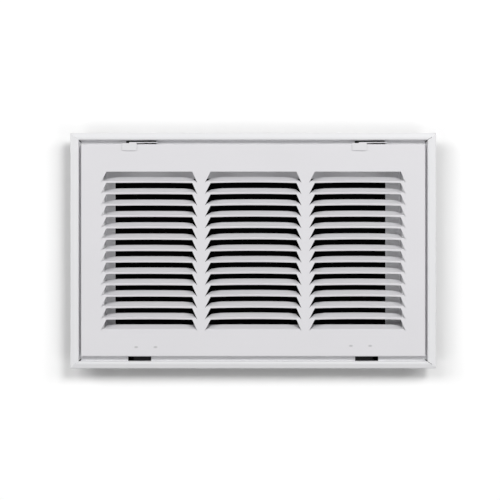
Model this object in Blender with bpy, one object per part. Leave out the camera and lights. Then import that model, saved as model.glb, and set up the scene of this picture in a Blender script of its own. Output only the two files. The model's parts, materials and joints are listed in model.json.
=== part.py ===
"""Return air filter grille for a 14 x 8 in duct opening, with a louvred door hinged at the bottom.

X runs across the grille, +Z is up and the door faces -Y. The wall face is the plane y = 0: the
lip and the door stand in front of it, and the neck reaches back into the duct. The origin lies
behind the middle of the frame, on the wall face.
"""

import math

import bmesh
import bpy
from mathutils import Matrix, Vector

MM = 0.001

# Clearances: between pieces that touch, and around pieces that slide or swing
SEAT_GAP = 0.3 * MM
RUNNING_GAP = 0.5 * MM

# Frame: four mitred strips of folded sheet
FRAME_WIDTH = 422.3 * MM
FRAME_HEIGHT = 272.0 * MM
FRAME_SHEET = 0.8 * MM
FOLD_RADIUS = 0.9 * MM
FOLD_STEPS = 2
LIP_DEPTH = 8.0 * MM
RIM_DEPTH = 5.0 * MM
SLOPE_WIDTH = 5.2 * MM
SIDE_LIP = 9.9 * MM
END_LIP = 8.4 * MM
NECK_INSET = 36.9 * MM
NECK_DEPTH = 28.0 * MM
LEFT_REAR_LIP = 10.7 * MM
RIGHT_REAR_LIP = 17.0 * MM
END_REAR_LIP = 13.2 * MM
SCREW_HOLE = 4.8 * MM
SCREW_HOLE_INSET = 76.0 * MM

# Door: one stamped pan, its front level with the lip
DOOR_SHEET = 0.7 * MM
DOOR_EDGE_RADIUS = 1.2 * MM
DOOR_EDGE_STEPS = 3
SIDE_GAP = 2.65 * MM
TOP_GAP = 4.7 * MM
BOTTOM_GAP = 5.6 * MM

# Louvres: each blade is cut on three sides and bent back about its lower edge
COLUMNS = 3
SIDE_MARGIN = 23.65 * MM
LEAST_END_MARGIN = 30.0 * MM
POST_WIDTH = 10.7 * MM
END_SLANT = 4.9 * MM
STRIP_WIDTH = 1.95 * MM
CUT_LENGTH = 11.18 * MM
BLADE_ANGLE = math.radians(61)
BLADE_END_ANGLE = math.radians(68)
BLADE_END_CURL = 13.0 * MM
CUT_WIDTH = 0.4 * MM

# Hinge: curled tongues on the door turn through slots in the bottom flange, about one axis
HINGE_AXIS_DEPTH = 0.4 * MM
HINGE_AXIS_RISE = 2.0 * MM
HINGE_INSET = 87.5 * MM
HINGE_SHEET = 0.8 * MM
LEAF_WIDTH = 30.0 * MM
LEAF_TOP_RISE = 18.0 * MM
LEAF_FOOT_RISE = 3.8 * MM
TONGUE_RADIUS = 9.0 * MM
TONGUE_TAIL = math.radians(-60)
TONGUE_STEPS = 8
HINGE_SLOT_WIDTH = 26.8 * MM
HINGE_SLOT_OFFSET = 7.85 * MM
HINGE_SLOT_TOP_GAP = 1.0 * MM

# Latches: folded slides on the door's top edge, each riding on two shoulder rivets
LATCH_SLOT_WIDTH = 35.0 * MM
LEFT_LATCH_INSET = 81.35 * MM
RIGHT_LATCH_INSET = 75.9 * MM
LATCH_SLOT_TOP_GAP = 0.4 * MM
LATCH_SLOT_BOTTOM_GAP = 2.0 * MM
LATCH_SHEET = 0.8 * MM
LATCH_LENGTH = 40.6 * MM
LATCH_NOTCH = 4.5 * MM
LATCH_OVERHANG = 3.9 * MM
LATCH_RISE = 1.5 * MM
LATCH_TRAVEL = 14.0 * MM
LATCH_FOLD_RADIUS = 1.2 * MM
TAB_WIDTH = 17.0 * MM
TAB_HEIGHT = 9.8 * MM
TAB_SHOULDER = 1.2 * MM
TONGUE_NECK = 7.0 * MM
LATCH_FOOT = 23.5 * MM
LATCH_FOOT_DEPTH = 2.2 * MM
RIVET_RADIUS = 1.5 * MM
RIVET_SPACING = 8.0 * MM
RIVET_HEAD_RADIUS = 2.5 * MM
RIVET_HEAD_HEIGHT = 0.9 * MM
RIVET_SHOULDER_RADIUS = 2.2 * MM
RIVET_TAIL_RADIUS = 2.0 * MM
RIVET_TAIL_HEIGHT = 0.7 * MM
ROUND_SEGMENTS = 16

# Places that follow from the sizes above
RECESS_HALF_WIDTH = FRAME_WIDTH / 2 - SIDE_LIP
RECESS_HALF_HEIGHT = FRAME_HEIGHT / 2 - END_LIP
DOOR_HALF_WIDTH = RECESS_HALF_WIDTH - SIDE_GAP
DOOR_TOP = RECESS_HALF_HEIGHT - TOP_GAP
DOOR_BOTTOM = BOTTOM_GAP - RECESS_HALF_HEIGHT
DOOR_MIDDLE = (DOOR_TOP + DOOR_BOTTOM) / 2
ROW_PITCH = CUT_LENGTH + STRIP_WIDTH
ROWS = int((DOOR_TOP - DOOR_BOTTOM - 2 * LEAST_END_MARGIN + STRIP_WIDTH) / ROW_PITCH)
POSTS_WIDTH = (COLUMNS - 1) * POST_WIDTH
ROOT_WIDTH = (2 * (DOOR_HALF_WIDTH - SIDE_MARGIN) - POSTS_WIDTH) / COLUMNS
SLIT_WIDTH = ROOT_WIDTH - 2 * END_SLANT
COLUMN_PITCH = ROOT_WIDTH + POST_WIDTH
DOOR_FRONT = -LIP_DEPTH
DOOR_BACK = -FRAME_SHEET - RUNNING_GAP
DOOR_INSIDE = DOOR_FRONT + DOOR_SHEET
HINGE_MIDDLE = FRAME_WIDTH / 2 - HINGE_INSET
HINGE_Y = DOOR_FRONT + HINGE_AXIS_DEPTH
HINGE_Z = -RECESS_HALF_HEIGHT + HINGE_AXIS_RISE
LEFT_LATCH_SLOT = LEFT_LATCH_INSET - FRAME_WIDTH / 2
RIGHT_LATCH_SLOT = FRAME_WIDTH / 2 - RIGHT_LATCH_INSET
LATCH_TOP = DOOR_TOP + LATCH_RISE + LATCH_SHEET
LATCH_BACK = -FRAME_SHEET - SEAT_GAP

WHITE_POWDER_COAT = (0.78, 0.78, 0.80)
BLACK_SPRING_STEEL = (0.03, 0.03, 0.03)
BLACKENED_STEEL = (0.05, 0.05, 0.05)


def finish(name, colour, metallic, roughness):
    """A Principled material in one colour."""
    material = bpy.data.materials.new(name)
    material.use_nodes = True
    shader = material.node_tree.nodes["Principled BSDF"]
    shader.inputs["Base Color"].default_value = (*colour, 1)
    shader.inputs["Metallic"].default_value = metallic
    shader.inputs["Roughness"].default_value = roughness
    material.diffuse_color = (*colour, 1)
    return material


def axis_empty(name, place, parent=None):
    """An empty on a joint's axis, which carries the pieces that move with it."""
    empty = bpy.data.objects.new(name, None)
    empty.empty_display_size = 10 * MM
    bpy.context.scene.collection.objects.link(empty)
    empty.parent = parent
    empty.location = place - (world_place(parent) if parent else Vector())
    return empty


def world_place(obj):
    """Where an object's origin lies, added up along its parents."""
    return obj.location + (world_place(obj.parent) if obj.parent else Vector())


def piece(name, mesh, material, parent=None):
    """An object from a mesh in world coordinates, with its origin on its parent's."""
    origin = world_place(parent) if parent else Vector()
    bmesh.ops.recalc_face_normals(mesh, faces=mesh.faces)
    bmesh.ops.translate(mesh, verts=mesh.verts, vec=-origin)
    data = bpy.data.meshes.new(name)
    mesh.to_mesh(data)
    mesh.free()
    data.materials.append(material)
    obj = bpy.data.objects.new(name, data)
    bpy.context.scene.collection.objects.link(obj)
    obj.parent = parent
    return obj


def close_sheet(mesh, backs):
    """Gives an open surface its second face and its cut edges.

    backs holds the place behind each vertex, in the order in which the vertices were made.
    """
    surface = list(mesh.faces)
    cut_edges = [edge for edge in mesh.edges if edge.is_boundary]
    behind = dict(zip(list(mesh.verts), [mesh.verts.new(place) for place in backs]))
    for face in surface:
        mesh.faces.new([behind[vertex] for vertex in reversed(face.verts)])
    for edge in cut_edges:
        start, end = edge.verts
        mesh.faces.new((start, end, behind[end], behind[start]))


def cut(obj, name, cutter_mesh):
    """Cuts a hole in an object with a hidden cutter."""
    cutter = piece(name, cutter_mesh, obj.data.materials[0])
    cutter.hide_render = True
    cutter.display_type = "WIRE"
    boolean = obj.modifiers.new(name, "BOOLEAN")
    boolean.operation = "DIFFERENCE"
    boolean.solver = "EXACT"
    boolean.object = cutter


def block(low, high):
    """A box between two corners."""
    mesh = bmesh.new()
    bmesh.ops.create_cube(mesh, size=1)
    size = Vector(high) - Vector(low)
    bmesh.ops.scale(mesh, vec=size, verts=mesh.verts)
    bmesh.ops.translate(mesh, vec=(Vector(high) + Vector(low)) / 2, verts=mesh.verts)
    return mesh


def rod(radius, length, middle, axis):
    """A round bar along Y or Z."""
    mesh = bmesh.new()
    turn = Matrix.Rotation(math.pi / 2, 4, "X") if axis == "Y" else Matrix.Identity(4)
    bmesh.ops.create_cone(
        mesh,
        cap_ends=True,
        segments=ROUND_SEGMENTS,
        radius1=radius,
        radius2=radius,
        depth=length,
        matrix=Matrix.Translation(middle) @ turn,
    )
    return mesh


def folded_line(corners, radius, steps):
    """Points on a line with rounded corners, each with the line's normal there."""
    corners = [Vector(corner) for corner in corners]
    headings = [(end - start).normalized() for start, end in zip(corners, corners[1:])]
    normals = [Vector((-heading.y, heading.x)) for heading in headings]
    line = [(corners[0], normals[0])]
    for corner, heading, normal, after in zip(corners[1:], headings, normals, headings[1:]):
        cross = heading.x * after.y - heading.y * after.x
        turn = math.atan2(cross, heading.dot(after))
        start = corner - heading * radius * math.tan(abs(turn) / 2)
        centre = start + normal * math.copysign(radius, turn)
        for step in range(steps + 1):
            turned = Matrix.Rotation(turn * step / steps, 2) @ normal
            line.append((centre - turned * math.copysign(radius, turn), turned))
    line.append((corners[-1], normals[-1]))
    return line


def corner_normals(points):
    """The normal at each point of a bent line, lengthened at its corners to keep the sheet even."""
    headings = [(end - start).normalized() for start, end in zip(points, points[1:])]
    normals = [Vector((-heading.y, heading.x)) for heading in headings]
    normals = [normals[0], *normals, normals[-1]]
    pairs = zip(normals, normals[1:])
    return [(before + after) / (1 + before.dot(after)) for before, after in pairs]


def rail_section(lip, rear_lip):
    """The two faces of a rail's sheet, as (inset from the rim, y) points that pair off."""
    half = FRAME_SHEET / 2
    corners = [
        (half, 0),
        (half, -RIM_DEPTH),
        (SLOPE_WIDTH, -LIP_DEPTH + half),
        (lip - half, -LIP_DEPTH + half),
        (lip - half, -half),
        (NECK_INSET + half, -half),
        (NECK_INSET + half, NECK_DEPTH - half),
        (NECK_INSET + FRAME_SHEET + rear_lip, NECK_DEPTH - half),
    ]
    line = folded_line(corners, FOLD_RADIUS, FOLD_STEPS)
    return [point + normal * half for point, normal in line], [
        point - normal * half for point, normal in line
    ]


def mitred_rail(name, outwards, along, sections, material):
    """One side of the frame, whose ends meet its neighbours' on the mitre line.

    sections holds the rail's own section, then those of the neighbours at its two ends.
    """
    outwards = Vector(outwards)
    along = Vector(along)
    half_across = abs(outwards.x) * FRAME_WIDTH / 2 + abs(outwards.z) * FRAME_HEIGHT / 2
    half_along = abs(along.x) * FRAME_WIDTH / 2 + abs(along.z) * FRAME_HEIGHT / 2
    seam = SEAT_GAP / math.sqrt(2)
    mesh = bmesh.new()
    ends = []
    for direction, neighbour in zip((-1, 1), sections[1:]):
        faces = []
        for own_face, other_face in zip(sections[0], neighbour):
            line = []
            for own, other in zip(own_face, other_face):
                reach = (half_along - other.x - seam) * direction
                place = outwards * (half_across - own.x) + along * reach
                line.append(mesh.verts.new(place + Vector((0, own.y, 0))))
            faces.append(line)
        ends.append(faces)
    (near_front, near_back), (far_front, far_back) = ends
    count = len(near_front)
    for here, there in zip(range(count - 1), range(1, count)):
        mesh.faces.new((near_front[here], near_front[there], far_front[there], far_front[here]))
        mesh.faces.new((near_back[here], far_back[here], far_back[there], near_back[there]))
        mesh.faces.new((near_front[here], near_back[here], near_back[there], near_front[there]))
        mesh.faces.new((far_front[here], far_front[there], far_back[there], far_back[here]))
    for edge in (0, -1):
        mesh.faces.new((near_front[edge], far_front[edge], far_back[edge], near_back[edge]))
    return piece(name, mesh, material)


def flange_slot(rail, name, middle, width, bottom, top):
    """A slot through the recessed flange, from its low edge to its high one."""
    low = (middle - width / 2, -2 * FRAME_SHEET, bottom)
    high = (middle + width / 2, FRAME_SHEET, top)
    cut(rail, name, block(low, high))


def frame(material):
    """The four rails, with their latch slots, hinge slots and screw holes."""
    left = rail_section(SIDE_LIP, LEFT_REAR_LIP)
    right = rail_section(SIDE_LIP, RIGHT_REAR_LIP)
    end = rail_section(END_LIP, END_REAR_LIP)
    top_rail = mitred_rail("top_rail", (0, 0, 1), (1, 0, 0), (end, left, right), material)
    bottom_rail = mitred_rail("bottom_rail", (0, 0, -1), (1, 0, 0), (end, left, right), material)
    left_rail = mitred_rail("left_rail", (-1, 0, 0), (0, 0, 1), (left, end, end), material)
    right_rail = mitred_rail("right_rail", (1, 0, 0), (0, 0, 1), (right, end, end), material)

    slot_top = RECESS_HALF_HEIGHT - LATCH_SLOT_TOP_GAP
    slot_bottom = LATCH_TOP - LATCH_SHEET - LATCH_SLOT_BOTTOM_GAP
    for side, middle in (("left", LEFT_LATCH_SLOT), ("right", RIGHT_LATCH_SLOT)):
        name = side + "_latch_slot_cutter"
        flange_slot(top_rail, name, middle, LATCH_SLOT_WIDTH, slot_bottom, slot_top)

    outer = TONGUE_RADIUS + HINGE_SHEET / 2
    flange_front = -FRAME_SHEET - HINGE_Y
    slot_top = HINGE_Z + math.sqrt(outer**2 - flange_front**2) + HINGE_SLOT_TOP_GAP
    for side, sign in (("left", -1), ("right", 1)):
        middle = sign * (HINGE_MIDDLE + HINGE_SLOT_OFFSET)
        name = side + "_hinge_slot_cutter"
        flange_slot(bottom_rail, name, middle, HINGE_SLOT_WIDTH, -RECESS_HALF_HEIGHT, slot_top)

    hole_x = FRAME_WIDTH / 2 - (SIDE_LIP + NECK_INSET) / 2
    hole_z = FRAME_HEIGHT / 2 - SCREW_HOLE_INSET
    for rail, sign in ((left_rail, -1), (right_rail, 1)):
        for level, height in (("lower", -hole_z), ("upper", hole_z)):
            middle = (sign * hole_x, -FRAME_SHEET / 2, height)
            name = rail.name.replace("rail", level + "_screw_hole_cutter")
            cut(rail, name, rod(SCREW_HOLE / 2, 3 * FRAME_SHEET, middle, "Y"))


def blade_corners(add, centre, root):
    """A blade's root and free edge, each with its two ends and where the curled ends begin."""
    end = ROOT_WIDTH / 2 - CUT_WIDTH
    free_end = SLIT_WIDTH / 2 - CUT_WIDTH
    curl = end - BLADE_END_CURL
    length = CUT_LENGTH - CUT_WIDTH
    roots = []
    free = []
    for root_x, free_x, angle in (
        (-end, -free_end, BLADE_END_ANGLE),
        (-curl, -curl, BLADE_ANGLE),
        (curl, curl, BLADE_ANGLE),
        (end, free_end, BLADE_END_ANGLE),
    ):
        fold = Vector((0, DOOR_SHEET, -DOOR_SHEET * math.tan(angle / 2)))
        roots.append(add((centre + root_x, DOOR_FRONT, root), fold))
        depth = DOOR_FRONT + length * math.sin(angle)
        behind = Vector((0, math.cos(angle), -math.sin(angle))) * DOOR_SHEET
        free.append(add((centre + free_x, depth, root + length * math.cos(angle)), behind))
    return roots, free


def louvred_plate(mesh, add, corners):
    """The door's flat face with its openings, and the blades that stand back from it.

    corners are the face's own: bottom left, bottom right, top right, top left. add makes a
    vertex and notes how far behind it the sheet's other face lies.
    """
    straight_back = Vector((0, DOOR_SHEET, 0))
    bottom_left, bottom_right, top_right, top_left = corners
    centres = [(column - (COLUMNS - 1) / 2) * COLUMN_PITCH for column in range(COLUMNS)]
    field = (ROWS - 1) * ROW_PITCH + CUT_LENGTH
    slits = []
    roots = []
    for row in range(ROWS):
        slit_z = DOOR_MIDDLE + field / 2 - row * ROW_PITCH
        root_z = slit_z - CUT_LENGTH
        slit_row = []
        root_row = []
        for centre in centres:
            slit_row.append(
                [
                    add((centre + x, DOOR_FRONT, slit_z), straight_back)
                    for x in (-SLIT_WIDTH / 2, SLIT_WIDTH / 2)
                ]
            )
            blade_root, free = blade_corners(add, centre, root_z)
            for left in range(3):
                mesh.faces.new(
                    (blade_root[left], blade_root[left + 1], free[left + 1], free[left])
                )
            outer = [
                add((centre + x, DOOR_FRONT, root_z), straight_back)
                for x in (-ROOT_WIDTH / 2, ROOT_WIDTH / 2)
            ]
            root_row.append([outer[0], *blade_root, outer[1]])
        slits.append(slit_row)
        roots.append(root_row)

    for slit_row, root_row in zip(slits, roots):
        for column in range(COLUMNS - 1):
            mesh.faces.new(
                (
                    slit_row[column][1],
                    root_row[column][-1],
                    root_row[column + 1][0],
                    slit_row[column + 1][0],
                )
            )
    for root_row, next_slits in zip(roots, slits[1:]):
        for root, slit in zip(root_row, next_slits):
            mesh.faces.new((*root, slit[1], slit[0]))
        for column in range(COLUMNS - 1):
            mesh.faces.new(
                (
                    root_row[column][-1],
                    root_row[column + 1][0],
                    next_slits[column + 1][0],
                    next_slits[column][1],
                )
            )

    top_edge = [vertex for slit in slits[0] for vertex in slit]
    bottom_edge = [vertex for root in roots[-1] for vertex in root]
    left_edge = []
    right_edge = []
    for slit_row, root_row in zip(slits, roots):
        left_edge += [slit_row[0][0], root_row[0][0]]
        right_edge += [slit_row[-1][1], root_row[-1][-1]]
    mesh.faces.new((top_left, top_right, *reversed(top_edge)))
    mesh.faces.new((bottom_right, bottom_left, *bottom_edge))
    mesh.faces.new((bottom_left, top_left, *left_edge))
    mesh.faces.new((top_right, bottom_right, *reversed(right_edge)))


def louvred_door(material, axis):
    """The door: a louvred face whose four edges are folded back."""
    edge = folded_line(
        [(2 * DOOR_EDGE_RADIUS, DOOR_FRONT), (0, DOOR_FRONT), (0, DOOR_BACK)],
        DOOR_EDGE_RADIUS,
        DOOR_EDGE_STEPS,
    )
    mesh = bmesh.new()
    backs = []

    def add(place, behind):
        backs.append(Vector(place) + behind)
        return mesh.verts.new(place)

    rings = []
    for (inset, y), outwards in edge[1:]:
        ring = []
        for side, level, height in (
            (-1, 1, DOOR_BOTTOM),
            (1, 1, DOOR_BOTTOM),
            (1, -1, DOOR_TOP),
            (-1, -1, DOOR_TOP),
        ):
            place = (side * (DOOR_HALF_WIDTH - inset), y, height + level * inset)
            behind = Vector((side * outwards.x, -outwards.y, -level * outwards.x)) * DOOR_SHEET
            ring.append(add(place, behind))
        rings.append(ring)
    louvred_plate(mesh, add, rings[0])
    for ring, next_ring in zip(rings, rings[1:]):
        for here in range(4):
            there = (here + 1) % 4
            mesh.faces.new((ring[here], ring[there], next_ring[there], next_ring[here]))
    close_sheet(mesh, backs)
    return piece("louvred_door", mesh, material, axis)


def hinge_leaf(name, sign, material, axis):
    """A strip welded inside the door, with a tongue that curls about the hinge axis."""
    leaf_y = DOOR_INSIDE + SEAT_GAP + HINGE_SHEET / 2
    path = [
        Vector((leaf_y, DOOR_BOTTOM + LEAF_TOP_RISE)),
        Vector((leaf_y, DOOR_BOTTOM + LEAF_FOOT_RISE)),
    ]
    axis_point = Vector((HINGE_Y, HINGE_Z))
    start_angle = math.acos((-FRAME_SHEET - HINGE_Y) / TONGUE_RADIUS)
    for step in range(TONGUE_STEPS + 1):
        angle = start_angle + (TONGUE_TAIL - start_angle) * step / TONGUE_STEPS
        spoke = Vector((math.cos(angle), math.sin(angle)))
        path.append(axis_point + spoke * TONGUE_RADIUS)
    miters = corner_normals(path)

    slot_middle = HINGE_MIDDLE + HINGE_SLOT_OFFSET
    inner = HINGE_MIDDLE - LEAF_WIDTH / 2
    outer = HINGE_MIDDLE + LEAF_WIDTH / 2
    tongue_inner = slot_middle - HINGE_SLOT_WIDTH / 2 + RUNNING_GAP
    mesh = bmesh.new()
    backs = []
    rows = []
    for number, (point, miter) in enumerate(zip(path, miters)):
        across = (outer, tongue_inner, inner) if number < 2 else (outer, tongue_inner)
        near = point + miter * HINGE_SHEET / 2
        far = point - miter * HINGE_SHEET / 2
        rows.append([mesh.verts.new((sign * x, *near)) for x in across])
        backs += [(sign * x, *far) for x in across]
    for row, next_row in zip(rows, rows[1:]):
        for left in range(len(next_row) - 1):
            mesh.faces.new((row[left], row[left + 1], next_row[left + 1], next_row[left]))
    close_sheet(mesh, backs)
    return piece(name, mesh, material, axis)


def latch_slide(name, slot_middle, material, axis):
    """A slide over the door's top edge: a tab over the face, and a foot behind the flange.

    The slide's flat part begins at a notch, where the tab's left end stands on its own.
    """
    left = slot_middle - LATCH_SLOT_WIDTH / 2 - LATCH_OVERHANG
    right = left + LATCH_LENGTH
    flat_left = slot_middle - LATCH_SLOT_WIDTH / 2 + LATCH_NOTCH
    tab_right = left + TAB_WIDTH
    tab_front = DOOR_FRONT - SEAT_GAP - LATCH_SHEET
    neck_right = flat_left + TONGUE_NECK
    foot_right = flat_left + LATCH_FOOT
    foot_front = SEAT_GAP
    foot_back = foot_front + LATCH_FOOT_DEPTH

    fold = folded_line(
        [
            (DOOR_FRONT + 2 * LATCH_FOLD_RADIUS, LATCH_TOP),
            (tab_front, LATCH_TOP),
            (tab_front, LATCH_TOP - TAB_HEIGHT),
        ],
        LATCH_FOLD_RADIUS,
        DOOR_EDGE_STEPS,
    )
    mesh = bmesh.new()
    backs = []
    rows = []
    for point, inwards in fold[1:]:
        rows.append([mesh.verts.new((x, *point)) for x in (flat_left, tab_right)])
        backs += [(x, *(point + inwards * LATCH_SHEET)) for x in (flat_left, tab_right)]
    for upper, lower in zip(rows, rows[1:-1]):
        mesh.faces.new((upper[0], upper[1], lower[1], lower[0]))
    shoulder = []
    for z in (LATCH_TOP - TAB_HEIGHT, LATCH_TOP - TAB_SHOULDER):
        shoulder.append(mesh.verts.new((left, tab_front, z)))
        backs.append((left, tab_front + LATCH_SHEET, z))
    mesh.faces.new((rows[-2][0], rows[-2][1], rows[-1][1], rows[-1][0], *shoulder))
    plan = [
        (tab_right, DOOR_FRONT),
        (right, DOOR_FRONT),
        (right, LATCH_BACK),
        (neck_right, LATCH_BACK),
        (neck_right, foot_front),
        (foot_right, foot_front),
        (foot_right, foot_back),
        (flat_left, foot_back),
    ]
    outline = [mesh.verts.new((x, y, LATCH_TOP)) for x, y in plan]
    backs += [(x, y, LATCH_TOP - LATCH_SHEET) for x, y in plan]
    mesh.faces.new((rows[0][0], rows[0][1], *outline))
    close_sheet(mesh, backs)
    return piece(name, mesh, material, axis)


def shoulder_rivet(name, x, y, material, axis):
    """A rivet through the door's top return: tail, shank, shoulder, shank and head."""
    return_top = DOOR_TOP
    slide_bottom = LATCH_TOP - LATCH_SHEET
    profile = [
        (RIVET_TAIL_RADIUS, return_top - DOOR_SHEET - SEAT_GAP - RIVET_TAIL_HEIGHT),
        (RIVET_TAIL_RADIUS, return_top - DOOR_SHEET - SEAT_GAP),
        (RIVET_RADIUS, return_top - DOOR_SHEET - SEAT_GAP),
        (RIVET_RADIUS, return_top + SEAT_GAP),
        (RIVET_SHOULDER_RADIUS, return_top + SEAT_GAP),
        (RIVET_SHOULDER_RADIUS, slide_bottom - SEAT_GAP),
        (RIVET_RADIUS, slide_bottom - SEAT_GAP),
        (RIVET_RADIUS, LATCH_TOP + SEAT_GAP),
        (RIVET_HEAD_RADIUS, LATCH_TOP + SEAT_GAP),
        (RIVET_HEAD_RADIUS, LATCH_TOP + SEAT_GAP + RIVET_HEAD_HEIGHT),
    ]
    mesh = bmesh.new()
    rings = []
    for radius, z in profile:
        ring = []
        for segment in range(ROUND_SEGMENTS):
            angle = math.tau * segment / ROUND_SEGMENTS
            place = (x + radius * math.cos(angle), y + radius * math.sin(angle), z)
            ring.append(mesh.verts.new(place))
        rings.append(ring)
    for ring, next_ring in zip(rings, rings[1:]):
        for here in range(ROUND_SEGMENTS):
            there = (here + 1) % ROUND_SEGMENTS
            mesh.faces.new((ring[here], ring[there], next_ring[there], next_ring[here]))
    mesh.faces.new(rings[0])
    mesh.faces.new(rings[-1])
    piece(name, mesh, material, axis)


for old in list(bpy.data.objects):
    bpy.data.objects.remove(old)

powder_coat = finish("white_powder_coat", WHITE_POWDER_COAT, 0.0, 0.45)
spring_steel = finish("black_spring_steel", BLACK_SPRING_STEEL, 0.6, 0.5)
blackened = finish("blackened_steel", BLACKENED_STEEL, 0.9, 0.4)

frame(powder_coat)
hinge_axis = axis_empty("hinge_axis", Vector((0, HINGE_Y, HINGE_Z)))
door = louvred_door(powder_coat, hinge_axis)
hinge_leaf("left_hinge_leaf", -1, spring_steel, hinge_axis)
hinge_leaf("right_hinge_leaf", 1, spring_steel, hinge_axis)

rivet_y = (DOOR_FRONT + LATCH_BACK) / 2 + RUNNING_GAP / 2
for side, slot_middle in (("left", LEFT_LATCH_SLOT), ("right", RIGHT_LATCH_SLOT)):
    latch_axis = axis_empty(
        side + "_latch_axis", Vector((slot_middle, rivet_y, LATCH_TOP)), hinge_axis
    )
    slide = latch_slide(side + "_latch", slot_middle, powder_coat, latch_axis)

    # The long hole runs from the two rivets to the left, by as much as the slide travels
    slide_right = slot_middle - LATCH_SLOT_WIDTH / 2 - LATCH_OVERHANG + LATCH_LENGTH
    hole_radius = RIVET_RADIUS + SEAT_GAP
    hole_length = LATCH_TRAVEL + RIVET_SPACING
    slide_left = slot_middle - LATCH_SLOT_WIDTH / 2 + LATCH_NOTCH
    first_rivet = (slide_left + slide_right + hole_length) / 2
    low = (first_rivet - hole_length - hole_radius, rivet_y - hole_radius, LATCH_TOP - 2 * LATCH_SHEET)
    high = (first_rivet + hole_radius, rivet_y + hole_radius, LATCH_TOP + LATCH_SHEET)
    cut(slide, side + "_latch_hole_cutter", block(low, high))

    for number, rivet_x in enumerate((first_rivet, first_rivet - RIVET_SPACING), start=1):
        middle = (rivet_x, rivet_y, DOOR_TOP)
        cut(
            door,
            f"{side}_rivet_{number}_hole_cutter",
            rod(hole_radius, 4 * DOOR_SHEET, middle, "Z"),
        )
        shoulder_rivet(f"{side}_latch_rivet_{number}", rivet_x, rivet_y, blackened, hinge_axis)
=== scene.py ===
"""The look of a white steel return air filter grille: every surface, the lights and the camera.

The pieces are sheets of steel, worked out with numpy as front and back points on grids.
Lengths are in metres. X runs across the grille, +Z is up and the door faces -Y.
"""

import json
import math

import bpy
import numpy as np
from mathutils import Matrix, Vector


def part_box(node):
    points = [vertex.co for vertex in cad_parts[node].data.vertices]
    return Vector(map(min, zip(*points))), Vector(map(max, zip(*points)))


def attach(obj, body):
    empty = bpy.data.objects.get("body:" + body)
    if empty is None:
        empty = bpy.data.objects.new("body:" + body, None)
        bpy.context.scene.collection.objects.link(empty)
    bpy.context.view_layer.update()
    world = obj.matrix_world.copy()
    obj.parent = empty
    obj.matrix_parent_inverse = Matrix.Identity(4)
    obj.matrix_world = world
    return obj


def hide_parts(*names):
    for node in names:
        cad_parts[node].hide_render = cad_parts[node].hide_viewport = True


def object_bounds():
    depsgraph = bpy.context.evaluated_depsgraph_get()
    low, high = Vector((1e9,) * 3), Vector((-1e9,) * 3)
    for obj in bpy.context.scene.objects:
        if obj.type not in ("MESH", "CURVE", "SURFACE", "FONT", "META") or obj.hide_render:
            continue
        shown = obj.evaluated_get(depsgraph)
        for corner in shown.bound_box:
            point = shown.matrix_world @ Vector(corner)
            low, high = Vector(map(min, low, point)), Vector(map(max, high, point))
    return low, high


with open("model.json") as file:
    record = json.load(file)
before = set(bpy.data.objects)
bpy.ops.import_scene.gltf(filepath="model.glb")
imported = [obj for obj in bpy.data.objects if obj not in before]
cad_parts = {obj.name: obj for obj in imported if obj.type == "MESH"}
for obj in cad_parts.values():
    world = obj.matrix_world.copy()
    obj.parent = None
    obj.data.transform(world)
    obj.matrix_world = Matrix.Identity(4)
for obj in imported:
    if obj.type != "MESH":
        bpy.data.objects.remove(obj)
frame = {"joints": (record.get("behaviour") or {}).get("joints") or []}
cad_box = [list(corner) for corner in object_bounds()]

# Frame: four strips of folded sheet steel, mitred at the corners and powder coated white. Each
# runs from a rim at the wall over a sloped and a flat band, down into the recess that takes the
# door, and back as the neck, to a rear lip that the filter rests on.
MM = 0.001
HALF_WIDTH = cad_box[1][0]
HALF_HEIGHT = cad_box[1][2]
FRAME_SHEET = 0.8 * MM
FOLD_RADIUS = 0.9 * MM
FOLD_STEPS = 6
LIP_DEPTH = 8.0 * MM
RIM_DEPTH = 6.2 * MM
SLOPE_WIDTH = 5.2 * MM
SIDE_LIP = 9.9 * MM
END_LIP = 8.4 * MM
NECK_INSET = 36.9 * MM
NECK_DEPTH = cad_box[1][1]
LEFT_REAR_LIP = 10.7 * MM
RIGHT_REAR_LIP = 17.0 * MM
TOP_REAR_LIP = 13.2 * MM
BOTTOM_REAR_LIP = 10.8 * MM
OPEN_SEAM = 0.30 * MM
FILLED_SEAM = 0.06 * MM
CLOSED_SHARE = 0.1
CORNER_NOTCH = 1.0 * MM
CORNER_NOTCH_REACH = (1.0 * MM, 2.5 * MM)
MITRE_FOLD = 2.0 * MM
TOLERANCE = 0.001 * MM
JOIN_STEP = 0.0017 * MM
SHARP_FOLD = math.radians(35)
HOLE_CELLS = 4

LATCH_SLOTS = {"left": -129.8 * MM, "right": 135.25 * MM}
LATCH_SLOT_WIDTH = 35.0 * MM
LATCH_SLOT_INSETS = (8.8 * MM, 13.6 * MM)
HINGE_SLOT_MIDDLE = 131.5 * MM
HINGE_SLOT_WIDTH = 26.8 * MM
HINGE_SLOT_INSETS = (8.4 * MM, 17.9 * MM)
SCREW_HOLE = 4.8 * MM
SCREW_HOLE_HEIGHT = 60.0 * MM


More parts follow.
